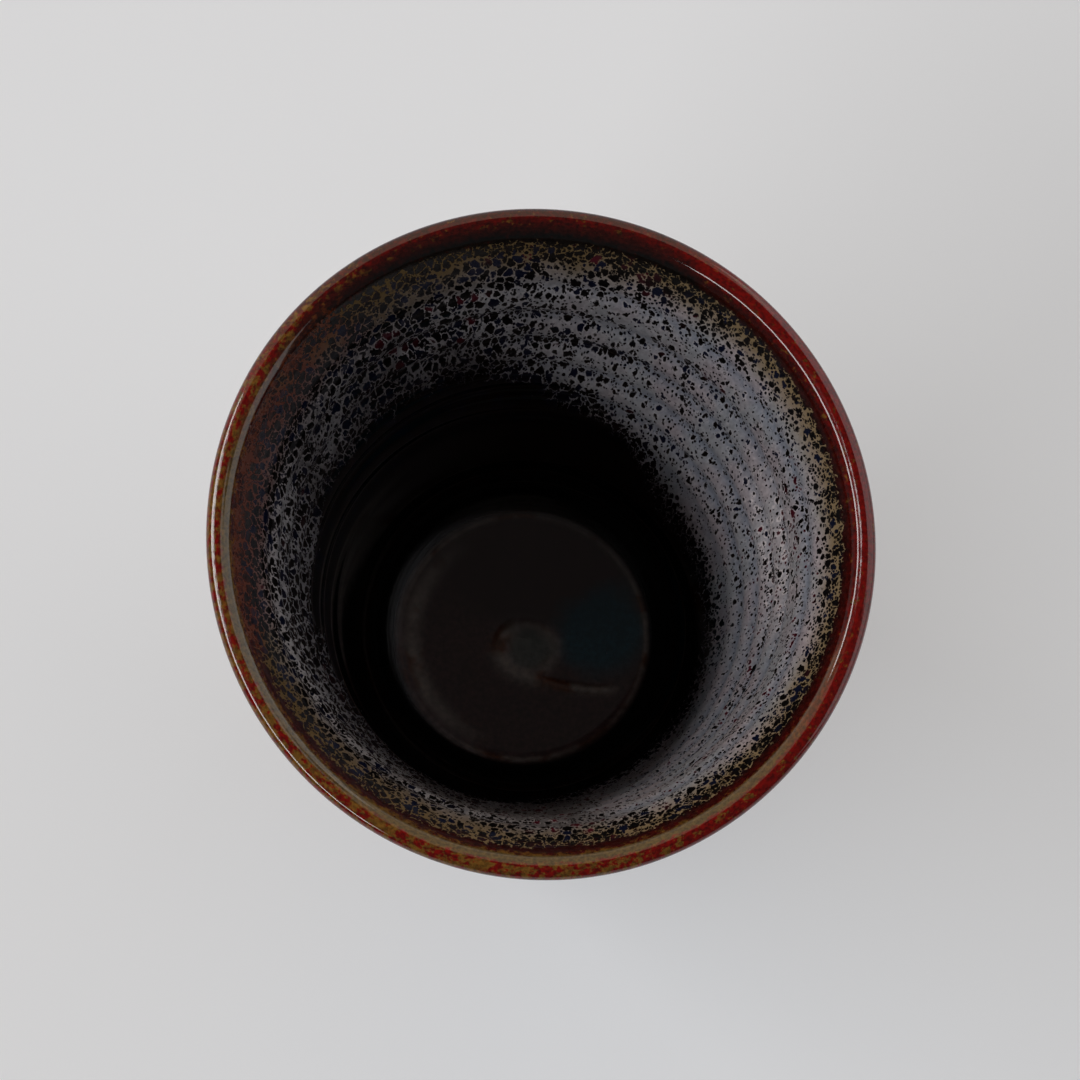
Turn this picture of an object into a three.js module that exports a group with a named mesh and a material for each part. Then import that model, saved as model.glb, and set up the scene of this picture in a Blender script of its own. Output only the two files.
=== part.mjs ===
// Yunomi teacup: a thrown stoneware cup luted to a turned foot ring, with three glaze coats fused to it.
// Millimetres, +Z up. The origin is on the table, at the centre of the foot.
import * as THREE from "three";

// Overall sizes
const HEIGHT = 92; // table to the top of the glazed lip
const RIM_DIAMETER = 80; // across the glazed lip
const HIP_DIAMETER = 45; // flat underside of the thrown cup

// Foot ring
const FOOT_DIAMETER = 41; // outside, where it joins the cup
const FOOT_TAPER = 0.7; // drawn in at the table, on each side of the ring
const FOOT_HEIGHT = 5.5;
const FOOT_WALL = 5; // width of the ring where it joins the cup
const FOOT_CHAMFER = 0.8;

// Thrown clay wall and floor
const WALL_CURVE = 1.8; // power of the body's profile: 1 is a straight cone, 2 a parabola
const HIP_WALL = 5; // clay at the bottom of the wall, measured level
const FLOOR_THICKNESS = 6; // clay under the floor
const FLOOR_FILLET = 9; // height over which the wall turns into the floor
const RECESS_RISE = 1; // dome turned into the underside, inside the foot ring
const RING_PITCH = 9; // throwing rings left by the fingers on the inner wall
const RING_DEPTH = 0.4;

// Everted lip
const LIP_WALL = 1.9; // clay at the lip, measured square to the wall
const LIP_LEAN = 36; // degrees that the wall leans out at the lip
const FLARE_HEIGHT = 11; // height over which the wall bends out to that lean

// Well in the floor, with the loop and tail that end the thrower's spiral
const WELL_DIAMETER = 36;
const WELL_DEPTH = 0.8;
const WELL_EDGE = 1.4; // level width of the step into the well
const LOOP_RADIUS = 3.7;
const LOOP_START = 60; // degrees of the loop over which its ridge rises
const SPIRAL_RISE = 0.45; // height of the ridge
const SPIRAL_WIDTH = 1.3; // half the width of the ridge
const SPIRAL_TURN = 250; // degrees from the start of the loop to the end of the tail
const TAIL_POWER = 10; // how late the tail leaves the loop

// Glaze coats
const GLAZE = 0.5; // thickness on the walls and the floor
const LIP_GLAZE = 0.4; // thickness on top of the lip, where it runs thin
const LIP_BAND_OUTSIDE = 8; // depth of the iron glaze below the lip
const LIP_BAND_INSIDE = 3.5;
const GLAZE_LINE = 14; // height at which the outer glaze stops
const GLAZE_ROLL = 0.5; // extra thickness of the rolled edge at the glaze line
const ROLL_HEIGHT = 3;

// Facets
const SEGMENTS = 40; // round the cup
const HIP_ROWS = 4;
const ROLL_ROWS = 3;
const WALL_ROWS = 7;
const FLARE_ROWS = 3; // from the iron band's lower edge up to the lip
const LIP_STEPS = 6;
const ROWS_PER_RING = 3; // one on the ridge, two in the finger groove
const FILLET_ROWS = 4;
const WELL_ROWS = 12;
const DOME_ROWS = 3;

const { lerp, degToRad, radToDeg, smoothstep, euclideanModulo } = THREE.MathUtils;
const point = (r, z) => new THREE.Vector2(r, z);

// Places that the pieces share
const hipRadius = HIP_DIAMETER / 2;
const footRadius = FOOT_DIAMETER / 2;
const recessRadius = footRadius - FOOT_WALL;
const floorZ = FOOT_HEIGHT + FLOOR_THICKNESS;
const filletTopZ = floorZ + FLOOR_FILLET;
const wellRadius = WELL_DIAMETER / 2;
const wellFlatRadius = wellRadius - WELL_EDGE;
const wellZ = floorZ - WELL_DEPTH;

// The round lip, and the places where the outer wall meets it and where its flare begins
const lean = degToRad(LIP_LEAN);
const lipRadius = LIP_WALL / 2;
const lipCentre = point(RIM_DIAMETER / 2 - GLAZE - lipRadius, HEIGHT - LIP_GLAZE - lipRadius);
const wallTop = point(lipCentre.x + lipRadius * Math.cos(lean), lipCentre.y - lipRadius * Math.sin(lean));
const neckZ = wallTop.y - FLARE_HEIGHT;
const bodyRise = neckZ - FOOT_HEIGHT;

// Neck radius and slope at which the body's curve runs on into the flare without a corner
const shareOfBody = FLARE_HEIGHT / (2 * WALL_CURVE * bodyRise);
const flareReach = (FLARE_HEIGHT / 2) * Math.tan(lean);
const neckRadius = (wallTop.x - flareReach + shareOfBody * hipRadius) / (1 + shareOfBody);
const neckSlope = (neckRadius - hipRadius) / (WALL_CURVE * bodyRise);
const flareBend = (Math.tan(lean) - neckSlope) / (2 * FLARE_HEIGHT);

// Outer clay wall: it leaves the underside level, climbs as a power curve, and bends out at the neck.
function outerRadius(z) {
  if (z <= neckZ) {
    return lerp(hipRadius, neckRadius, ((z - FOOT_HEIGHT) / bodyRise) ** (1 / WALL_CURVE));
  }
  const up = z - neckZ;
  return neckRadius + neckSlope * up + flareBend * up * up;
}

// Inner clay wall without its throwing rings: the outer wall less a thickness that thins towards the lip.
function innerRadius(z) {
  const share = (z - FOOT_HEIGHT) / (wallTop.y - FOOT_HEIGHT);
  return outerRadius(z) - lerp(HIP_WALL, LIP_WALL / Math.cos(lean), share);
}

// A row is a place on the clay surface and the thickness of the glaze over it.
const row = (r, z, coat = GLAZE) => ({ clay: point(r, z), coat });
const outerRow = (z, coat) => row(outerRadius(z), z, coat);

// Bare hip, from the underside up to the glaze line, spaced evenly outwards.
function hipRows() {
  const lineShare = ((GLAZE_LINE - FOOT_HEIGHT) / bodyRise) ** (1 / WALL_CURVE);
  const rows = [];
  for (let i = 0; i < HIP_ROWS; i++) {
    rows.push(outerRow(FOOT_HEIGHT + bodyRise * ((lineShare * i) / HIP_ROWS) ** WALL_CURVE));
  }
  return rows;
}

// Glazed outer wall up to the iron band. Its lower edge rolls over where the glaze ran and stopped.
function outerRows() {
  const bandZ = HEIGHT - LIP_BAND_OUTSIDE;
  const rows = [outerRow(GLAZE_LINE, GLAZE / 2)];
  for (let i = 1; i < ROLL_ROWS; i++) {
    const share = (i / ROLL_ROWS) ** 2;
    rows.push(outerRow(GLAZE_LINE + ROLL_HEIGHT * share, GLAZE + GLAZE_ROLL * Math.sin(Math.PI * share)));
  }
  for (let i = 0; i <= WALL_ROWS; i++) {
    rows.push(outerRow(lerp(GLAZE_LINE + ROLL_HEIGHT, bandZ, i / WALL_ROWS)));
  }
  return rows;
}

// Upper flare and round lip, from the iron band outside over to the inner wall. The glaze thins on top.
function lipRows() {
  const bandZ = HEIGHT - LIP_BAND_OUTSIDE;
  const rows = [];
  for (let i = 1; i < FLARE_ROWS; i++) {
    rows.push(outerRow(lerp(bandZ, wallTop.y, i / FLARE_ROWS)));
  }
  for (let i = 0; i <= LIP_STEPS; i++) {
    const angle = (Math.PI * i) / LIP_STEPS - lean;
    const thinning = Math.max(Math.sin(angle), 0);
    const r = lipCentre.x + lipRadius * Math.cos(angle);
    const z = lipCentre.y + lipRadius * Math.sin(angle);
    rows.push(row(r, z, lerp(GLAZE, LIP_GLAZE, thinning)));
  }
  return rows;
}

// Inner wall from the iron band down to the fillet, with a groove for each turn of the thrower's fingers.
function innerRows() {
  const bandZ = HEIGHT - LIP_BAND_INSIDE;
  const rings = Math.round((bandZ - filletTopZ) / RING_PITCH);
  const count = rings * ROWS_PER_RING;
  const rows = [];
  for (let i = 0; i <= count; i++) {
    const z = lerp(bandZ, filletTopZ, i / count);
    const groove = i % ROWS_PER_RING === 0 ? 0 : RING_DEPTH;
    rows.push(row(innerRadius(z) + groove, z));
  }
  return rows;
}

// Turn from the wall into the floor, and the step down into the well.
function filletRows() {
  const top = point(innerRadius(filletTopZ), filletTopZ);
  const turn = new THREE.QuadraticBezierCurve(top, point(top.x, floorZ), point(wellRadius, floorZ));
  const rows = [];
  for (let i = 1; i <= FILLET_ROWS; i++) {
    const p = turn.getPoint(i / FILLET_ROWS);
    rows.push(row(p.x, p.y));
  }
  rows.push(row(wellFlatRadius, wellZ));
  return rows;
}

// The clay skin that the glazes lie on, from the hip over the lip to the edge of the well's flat floor.
const hip = hipRows();
const outer = outerRows();
const lip = lipRows();
const skin = [...hip, ...outer, ...lip, ...innerRows(), ...filletRows()];
const wallStart = hip.length;
const bandStart = wallStart + outer.length - 1;
const bandEnd = bandStart + lip.length + 1;
const wellStart = skin.length - 1;

// The two faces of a glaze at a row of the skin: against the clay, and that surface pushed out square to it.
const clayFace = (index) => skin[index].clay;

function glazeFace(index) {
  const before = skin[Math.max(index - 1, 0)].clay;
  const after = skin[index + 1]?.clay ?? point(0, wellZ);
  const along = after.clone().sub(before).normalize();
  const outwards = point(along.y, -along.x);
  return skin[index].clay.clone().addScaledVector(outwards, skin[index].coat);
}

// Points of one face of the skin, from one row to another, in either direction.
function faceBetween(face, from, to) {
  const step = Math.sign(to - from);
  return Array.from({ length: Math.abs(to - from) + 1 }, (_, i) => face(from + i * step));
}

// Solid of revolution about Z from a section that starts and ends on the axis, or closes on itself.
function revolve(section) {
  return new THREE.LatheGeometry(section, SEGMENTS).rotateX(Math.PI / 2);
}

// Thrown cup: domed underside, hip, wall, everted lip, ringed inner wall and flat well.
function clayBody() {
  const underside = [];
  for (let i = 0; i <= DOME_ROWS; i++) {
    const share = i / DOME_ROWS;
    underside.push(point(recessRadius * share, FOOT_HEIGHT + RECESS_RISE * (1 - share * share)));
  }
  return revolve([...underside, ...skin.map((r) => r.clay), point(0, wellZ)]);
}

// Foot ring: both sides draw in towards the table, and its lower edges are chamfered.
function footRing() {
  const outside = footRadius - FOOT_TAPER;
  const inside = recessRadius + FOOT_TAPER;
  return revolve([
    point(recessRadius, FOOT_HEIGHT),
    point(inside, FOOT_CHAMFER),
    point(inside + FOOT_CHAMFER, 0),
    point(outside - FOOT_CHAMFER, 0),
    point(outside, FOOT_CHAMFER),
    point(footRadius, FOOT_HEIGHT),
    point(recessRadius, FOOT_HEIGHT),
  ]);
}

// Ring of glaze over part of the skin.
function glazeRing(from, to) {
  const section = [...faceBetween(glazeFace, from, to), ...faceBetween(clayFace, to, from)];
  section.push(section[0]);
  return revolve(section);
}

// Height of the spiral ridge in the well: a loop round the centre whose tail runs out to the well's edge.
function spiralHeight(x, y) {
  const r = Math.hypot(x, y);
  const turn = euclideanModulo(radToDeg(Math.atan2(y, x)) - 90, 360);
  const tail = (wellFlatRadius - LOOP_RADIUS) * (turn / SPIRAL_TURN) ** TAIL_POWER;
  const across = (r - LOOP_RADIUS - tail) / SPIRAL_WIDTH;
  const start = smoothstep(turn, 0, LOOP_START);
  const edge = 1 - smoothstep(r, wellFlatRadius - 2 * SPIRAL_WIDTH, wellFlatRadius);
  return SPIRAL_RISE * start * edge * Math.exp(-across * across);
}

// Liner glaze: a coat down the inner wall and a pool in the well, with the spiral raised in its surface.
function innerGlaze() {
  const section = [point(0, wellZ), ...faceBetween(clayFace, wellStart, bandEnd)];
  section.push(...faceBetween(glazeFace, bandEnd, wellStart - 1));
  for (let i = 0; i <= WELL_ROWS; i++) {
    section.push(point(wellFlatRadius * (1 - i / WELL_ROWS), wellZ + GLAZE));
  }
  const geometry = revolve(section);
  const position = geometry.getAttribute("position");
  for (let i = 0; i < position.count; i++) {
    if (position.getZ(i) > wellZ + GLAZE / 2) {
      position.setZ(i, position.getZ(i) + spiralHeight(position.getX(i), position.getY(i)));
    }
  }
  return geometry;
}

// Finishes
const bareClay = { color: "#6b4a38", roughness: 0.85, metalness: 0 };
const ironGlaze = { color: "#6a0f08", roughness: 0.15, metalness: 0 };
const spottedGlaze = { color: "#4b4a50", roughness: 0.2, metalness: 0 };

function piece(name, geometry, finish) {
  const mesh = new THREE.Mesh(geometry, new THREE.MeshStandardMaterial(finish));
  mesh.name = name;
  return mesh;
}

const cup = new THREE.Group();
cup.name = "yunomi";
cup.add(
  piece("clay_body", clayBody(), bareClay),
  piece("foot_ring", footRing(), bareClay),
  piece("lip_glaze", glazeRing(bandStart, bandEnd), ironGlaze),
  piece("inner_glaze", innerGlaze(), spottedGlaze),
  piece("outer_glaze", glazeRing(wallStart, bandStart), spottedGlaze),
);

export default cup;
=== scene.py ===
from math import cos, pi, radians, sin, tan
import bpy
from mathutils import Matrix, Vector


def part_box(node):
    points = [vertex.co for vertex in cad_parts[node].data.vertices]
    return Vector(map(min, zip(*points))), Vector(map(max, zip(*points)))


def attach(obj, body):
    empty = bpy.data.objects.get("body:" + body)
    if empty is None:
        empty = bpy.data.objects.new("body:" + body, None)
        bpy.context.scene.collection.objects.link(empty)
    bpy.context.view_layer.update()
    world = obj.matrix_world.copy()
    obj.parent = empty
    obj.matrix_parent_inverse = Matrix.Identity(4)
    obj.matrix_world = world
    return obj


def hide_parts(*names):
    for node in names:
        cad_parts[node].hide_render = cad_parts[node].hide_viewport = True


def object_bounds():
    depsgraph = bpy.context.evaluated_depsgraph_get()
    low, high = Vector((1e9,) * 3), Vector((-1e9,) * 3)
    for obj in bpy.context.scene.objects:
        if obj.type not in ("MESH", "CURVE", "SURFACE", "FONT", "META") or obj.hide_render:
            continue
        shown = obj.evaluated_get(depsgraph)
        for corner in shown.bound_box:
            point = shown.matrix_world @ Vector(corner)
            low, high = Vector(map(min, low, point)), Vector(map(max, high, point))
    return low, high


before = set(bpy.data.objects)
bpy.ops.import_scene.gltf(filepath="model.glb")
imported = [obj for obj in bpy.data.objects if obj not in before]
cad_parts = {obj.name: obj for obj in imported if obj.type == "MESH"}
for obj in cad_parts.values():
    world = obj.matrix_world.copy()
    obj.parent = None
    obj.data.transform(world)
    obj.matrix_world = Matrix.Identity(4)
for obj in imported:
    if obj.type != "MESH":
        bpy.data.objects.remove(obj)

from types import SimpleNamespace

import bpy
import numpy as np
from bpy.props import FloatProperty, FloatVectorProperty, PointerProperty
from mathutils import Matrix, Vector

bl_info = {
    "name": "Yunomi teacup",
    "version": (1, 0, 0),
    "blender": (4, 5, 0),
    "location": "3D View > Sidebar > Cup",
    "description": "Makes a thrown stoneware teacup with a turned foot ring and three glaze coats",
    "category": "Object",
}

MM = 0.001
CAD_LOW, CAD_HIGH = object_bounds()
FOOT_LOW, FOOT_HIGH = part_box("foot_ring")

# Fineness of the meshes. A coat's hidden back keeps one row of its face in BACK_ROWS
SEGMENTS = 288
PROFILE_STEP = 0.05 * MM
UNDERSIDE_STEP = 0.5 * MM
CLAY_STEP = 0.65 * MM
FOOT_STEP = 0.16 * MM
LIP_STEP = 0.1 * MM
LINER_STEP = 0.45 * MM
OUTER_STEPS = 190
BACK_ROWS = 4
CORNER_SOFTENING = 0.9 * MM
SAME_PLACE = 1e-9
SHARP_FROM = radians(50)

# Depth of the turning tool's lines, and height of the finger spiral in the well
LINE_DEPTH = 0.05 * MM
SPIRAL_HEIGHT = 0.35 * MM

# How far glaze cells are drawn out deep down the wall, and the distance over which that comes about
FLOW_STRETCH = 3.2
FLOW_FADE = 9 * MM

# Where glaze pooled on the floor, beside the centre and in the loop of the spiral, and where the ash
# bloomed, with a painted sheen
POOL = (11 * MM, 1 * MM, 12 * MM)
EYE = (0.7 * MM, -1.5 * MM, 12 * MM)
SHEEN_BLOOM = (29.5 * MM, 3 * MM, 66 * MM)

# Directions round the cup, in degrees from +X, in which the glaze differs, and in which shade and
# reflections are painted
RICH_ASH = -15
# Directions in which shade is painted on the walls
SHADED_ASH = (137, 250)
EARLY_BLACK_SHADE = 125
WORN_LIP = 166
THICK_LIP = 105
ASHY_LIP = 215
OLIVE_REFLECTION_LIP = 240
RED_SPOTS = -40
# Painted shade on the floor, darker towards this side
SHADED_FLOOR = 85
# Direction of a painted reflection on the floor
REFLECTED_CRESCENT = 186

# Widths of the two sizes of glaze cell, in millimetres
LARGE_CELL = 1.1
SMALL_CELL = 0.5


# Sizes and colours that a user would change

def length(name, description, default):
    """A size in metres."""
    return FloatProperty(
        name=name, description=description, default=default, min=0, precision=4, unit="LENGTH")


def linear(hex_colour):
    """Linear red, green and blue of an sRGB hex colour."""
    parts = [int(hex_colour[i:i + 2], 16) / 255 for i in (1, 3, 5)]
    return tuple(c / 12.92 if c <= 0.04045 else ((c + 0.055) / 1.055) ** 2.4 for c in parts)


def colour(name, description, hex_colour):
    """A colour, kept as linear values."""
    return FloatVectorProperty(
        name=name, description=description, default=linear(hex_colour), min=0, max=1, subtype="COLOR")


class CupSizes(bpy.types.PropertyGroup):
    height: length("Height", "Table to the top of the glazed lip", CAD_HIGH.z - CAD_LOW.z)
    rim: length("Rim", "Diameter across the glazed lip", CAD_HIGH.x - CAD_LOW.x)
    hip: length("Hip", "Diameter of the flat underside of the thrown cup", 45 * MM)
    foot: length("Foot", "Diameter of the foot ring where it joins the cup", FOOT_HIGH.x - FOOT_LOW.x)
    foot_height: length("Foot height", "Height of the foot ring", FOOT_HIGH.z - FOOT_LOW.z)
    foot_wall: length("Foot wall", "Width of the foot ring where it joins the cup", 5 * MM)
    foot_taper: length("Foot taper", "How far each side of the ring draws in at the table", 0.7 * MM)
    foot_chamfer: length("Foot chamfer", "Chamfer on the ring's lower edges", 0.8 * MM)
    recess_rise: length("Recess rise", "Dome turned into the underside inside the ring", 1 * MM)
    wall_curve: FloatProperty(
        name="Wall curve", description="Power of the wall's profile: 1 is a cone, 2 a parabola",
        default=1.8, min=1)
    hip_wall: length("Wall at the hip", "Clay at the bottom of the wall, measured level", 5 * MM)
    lip_wall: length("Wall at the lip", "Clay at the lip, square to the wall", 1.9 * MM)
    lip_lean: FloatProperty(
        name="Lip lean", description="How far the lip leans out from upright",
        default=radians(36), unit="ROTATION")
    flare_height: length("Flare height", "Height over which the wall bends out to the lip", 11 * MM)
    floor_thickness: length("Floor thickness", "Clay under the floor", 6 * MM)
    floor_fillet: length("Floor fillet", "Height over which the wall turns into the floor", 9 * MM)
    ring_pitch: length("Ring pitch", "Height between throwing rings on the inner wall", 9 * MM)
    ring_depth: length("Ring depth", "Depth of the throwing rings", 0.4 * MM)
    floor_slope: FloatProperty(
        name="Floor slope", description="Slope at which the wall's fillet meets the well",
        default=radians(25), unit="ROTATION")
    well: length("Well", "Diameter of the well in the floor", 34.8 * MM)
    well_depth: length("Well depth", "How far the well is hollowed towards its centre", 1.2 * MM)
    well_step: length("Well step", "Depth of the step into the well", 0.25 * MM)
    well_edge: length("Well edge", "Level width of the step into the well", 1.8 * MM)
    glaze: length("Glaze", "Thickness of the glaze on the walls", 0.5 * MM)
    lip_glaze: length("Lip glaze", "Thickness of the glaze on top of the lip", 0.25 * MM)
    band_outside: length("Iron band outside", "Depth of the iron glaze outside the lip", 8 * MM)
    band_inside: length("Iron band inside", "Depth of the iron glaze inside the lip", 3.5 * MM)
    glaze_line: length("Glaze line", "Height at which the outer glaze stops", 14 * MM)
    glaze_roll: length("Glaze roll", "Extra thickness of the edge at the glaze line", 0.5 * MM)
    ovality: FloatProperty(
        name="Ovality", description="Share by which the rim is out of round",
        default=0.0112, min=0, subtype="FACTOR")


class CupColours(bpy.types.PropertyGroup):
    clay: colour("Clay", "Bare fired clay", "#6b4a38")
    flash: colour("Flash", "Warmer clay beside the glaze line", "#87502f")
    speck: colour("Iron speck", "Iron specks in the clay", "#2a1a14")
    red: colour("Iron red", "Iron glaze where it is thin on the lip", "#690703")
    maroon: colour("Maroon", "Iron glaze between the lip and the spots", "#2c0a07")
    dark_red: colour("Dark red", "Iron glaze below the lip", "#3c0906")
    black: colour("Iron black", "Iron glaze where it is thick", "#0c0a0a")
    brown: colour("Iron brown", "Iron glaze pooled on the floor", "#5e3f3a")
    orange: colour("Orange", "Thin ash over the iron glaze on the lip", "#6a4818")
    # Olive: thinned iron glaze, and on the lip's shoulder also a painted reflection
    olive: colour("Olive", "Iron glaze thinned on the lip's inner shoulder", "#54401c")
    rust: colour("Rust", "Edge of the ash where it is thin", "#54220d")
    # Blue grey: the ash's tone where it pooled in the grooves, and partly painted shade in them
    blue: colour("Blue grey", "Ash pooled in the throwing rings", "#747a88")
    # Also the colour of the painted reflections round the well
    thin_brown_and_reflection: colour("Thin brown", "Iron glaze broken over a ridge of the floor", "#b6a498")
    ochre: colour("Ochre", "Ash at the edge of the spotted glaze", "#78664c")
    grey: colour("Grey", "Ash glaze between the spots", "#909095")
    lilac: colour("Lilac", "Ash glaze where it is warmer", "#998f94")
    shade: colour("Thin grey", "Ash glaze where it is thin", "#929094")
    # Painted shade: a darker grey laid on the walls in two directions where less light falls
    shaded_grey: colour("Dark grey", "Ash glaze where it is thinnest", "#5c595b")
    pool: colour("Pool", "Blue-green glaze pooled on the floor", "#2c5c6c")
    eye: colour("Eye", "Greenish glaze pooled in the loop of the spiral", "#7f857c")
    # Pale crystals, also made paler as a painted sheen of the key light
    crystal_sheen: colour("Bloom", "Pale crystals in the ash glaze", "#c9c0c2")
    navy: colour("Navy", "Cool spots", "#0e1224")
    crimson: colour("Crimson", "Red spots", "#48121e")
    floor: colour("Studio floor", "Pale floor under the cup", "#f4f6fa")
    backdrop: colour("Backdrop", "Even tone that lightens the floor's shadows", "#ebecee")


# Form of the thrown cup

def smooth(value, low, high):
    """0 below low, 1 above high, with an even S-curve between."""
    share = np.clip((value - low) / (high - low), 0, 1)
    return share * share * (3 - 2 * share)


def even_curve(points):
    """A line of points taken again at even steps along it, with its corners softened by a moving mean."""
    gaps = np.hypot(*np.diff(points, axis=1))
    points = points[:, np.append(True, gaps > SAME_PLACE)]
    along = np.append(0, np.cumsum(np.hypot(*np.diff(points, axis=1))))
    even = np.linspace(0, along[-1], int(along[-1] / PROFILE_STEP) + 1)
    half = int(CORNER_SOFTENING / PROFILE_STEP) // 2
    width = 2 * half + 1
    curve = []
    for values in points:
        padded = np.pad(np.interp(even, along, values), half, mode="reflect", reflect_type="odd")
        curve.append(np.convolve(padded, np.ones(width) / width, mode="valid"))
    return even, np.array(curve)


def wall_functions(size):
    """The clay wall's outer and inner radius at a height, and the centre and radius of its round lip.

    The wall leaves the underside level and climbs as a power curve to the neck, where it bends out along a
    parabola to the lip's lean. The inner wall is the outer one less a thickness that thins towards the lip.
    """
    lip_radius = size.lip_wall / 2
    lip = Vector((size.rim / 2 - size.glaze - lip_radius, size.height - size.lip_glaze - lip_radius))
    top = lip + lip_radius * Vector((cos(size.lip_lean), -sin(size.lip_lean)))
    neck = top.y - size.flare_height
    rise = neck - size.foot_height
    hip = size.hip / 2
    share = size.flare_height / (2 * size.wall_curve * rise)
    neck_radius = (top.x - size.flare_height / 2 * tan(size.lip_lean) + share * hip) / (1 + share)
    slope = (neck_radius - hip) / (size.wall_curve * rise)
    bend = (tan(size.lip_lean) - slope) / (2 * size.flare_height)
    thinnest = size.lip_wall / cos(size.lip_lean)

    def outer(z):
        climb = np.clip((z - size.foot_height) / rise, 0, 1) ** (1 / size.wall_curve)
        above = np.maximum(z - neck, 0)
        return hip + (neck_radius - hip) * climb + slope * above + bend * above * above

    def inner(z):
        share = (z - size.foot_height) / (top.y - size.foot_height)
        return outer(z) - size.hip_wall - (thinnest - size.hip_wall) * share

    return outer, inner, lip, lip_radius


def thrown_profile(size):
    """Half section of the clay, from the hip up the wall, over the lip and down to the centre of the floor.

    It runs through the power curve and flare outside, a half circle at the lip, the inner wall, a quadratic
    curve into the floor, an S-curve into the well, and the well's shallow bowl. It gives the distance along,
    the place and the direction square to the clay, and the distances at which the glazes begin and end.
    """
    outer, inner, lip, lip_radius = wall_functions(size)
    t = np.linspace(0, 1, 600)
    turn = pi * t - size.lip_lean
    lip_r = lip.x + lip_radius * np.cos(turn)
    lip_z = lip.y + lip_radius * np.sin(turn)
    lip_drop = lip_radius * sin(size.lip_lean)
    outside_z = size.foot_height + (lip.y - lip_drop - size.foot_height) * t ** 2
    floor = size.foot_height + size.floor_thickness
    fillet_top = floor + size.floor_fillet
    inside_z = lip.y + lip_drop + (fillet_top - lip.y) * t
    well = size.well / 2
    start = inner(inside_z[-1])
    corner_z = floor + (start - well) * tan(size.floor_slope)
    fillet_r = (1 - t ** 2) * start + t ** 2 * well
    fillet_z = (1 - t) ** 2 * inside_z[-1] + 2 * t * (1 - t) * corner_z + t ** 2 * floor
    well_r = well * (1 - t)
    bowl = size.well_depth * (1 - (well_r / well) ** 2)
    well_z = floor - bowl - size.well_step * smooth(well - well_r, 0, size.well_edge)
    along, (r, z) = even_curve(np.array([
        np.concatenate([outer(outside_z), lip_r, inner(inside_z), fillet_r, well_r]),
        np.concatenate([outside_z, lip_z, inside_z, fillet_z, well_z]),
    ]))
    tangent = np.gradient(np.array([r, z]), axis=1)
    tangent /= np.hypot(*tangent)
    top = int(np.argmax(z))

    def outside_at(height):
        return np.interp(height, z[:top], along[:top])

    def inside_at(height):
        return np.interp(height, z[top:][::-1], along[top:][::-1])

    return SimpleNamespace(
        along=along, r=r, z=z, out_r=tangent[1], out_z=-tangent[0],
        line=outside_at(size.glaze_line), band_outside=outside_at(size.height - size.band_outside),
        crest=along[top], band_inside=inside_at(size.height - size.band_inside),
        fillet=inside_at(fillet_top), centre=along[-1])


def hand_thrown(size, r, z, theta):
    """Places at a radius, height and angle, with the small faults of a hand-thrown cup.

    Towards the rim the circle becomes slightly oval, with two weak waves, and the lip dips a little. Each is
    shifted inwards or down by a constant, to keep the rim inside the CAD box.
    """
    up = np.clip(z / size.height, 0, 1)
    long_axis = radians(-71)
    oval = size.ovality * (np.cos(2 * (theta - long_axis)) - 0.7)
    waves = 0.0012 * np.sin(3 * theta + 0.8) + 0.0008 * np.sin(5 * theta + 2.1) - 0.0016
    r = r * (1 + up ** 2 * (oval + waves))
    dip = 0.22 * MM * (np.sin(2 * theta + 2.4) + 0.5 * np.sin(3 * theta) - 1.4)
    z = z + up ** 10 * dip
    return np.stack([r * np.cos(theta), r * np.sin(theta), z], axis=-1)


def throwing_rings(size, cup, along, theta):
    """Depth of the finger grooves, 0 to 1: one ring at the neck, then a helix that fades into the fillet."""
    inside = along - cup.crest
    neck_at = 11.5 * MM
    neck_width = 1.7 * MM
    neck = np.exp(-((inside - neck_at) / neck_width) ** 2)
    wobble = 0.6 * MM * np.sin(2 * theta + 1)
    turn = (inside + wobble) / size.ring_pitch + theta / (2 * pi)
    helix = (0.5 - 0.5 * np.cos(2 * pi * turn)) ** 1.5
    begun = smooth(inside, 14 * MM, 20 * MM)
    ended = smooth(along, cup.fillet - 24 * MM, cup.fillet - 8 * MM)
    return np.where(inside > 0, neck + begun * (1 - ended) * helix, 0)


def turning_lines(cup, along, theta):
    """Depth of the lines left by the turning tool low on the outside, 0 to 1."""
    reach = 22 * MM
    spacing = 1.5 * MM
    low = 1 - smooth(along, cup.line, cup.line + reach)
    lines = 0.5 + 0.5 * np.sin(2 * pi * along / spacing + theta)
    return np.where(along < cup.crest, low * lines, 0)


def glaze_edge(cup, theta):
    """Distance along the profile where the outer glaze stops: three waves, and two runs that hang lower."""
    waves = 0.8 * np.sin(3 * theta + 0.4) + 0.45 * np.sin(7 * theta + 2) + 0.25 * np.sin(12 * theta + 1)
    runs = sum(
        depth * np.exp(-((np.mod(theta - radians(at) + pi, 2 * pi) - pi) / radians(wide)) ** 2)
        for depth, at, wide in ((2.6, 292, 7), (1.8, 128, 6)))
    return cup.line + MM * (waves - runs)


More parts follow.
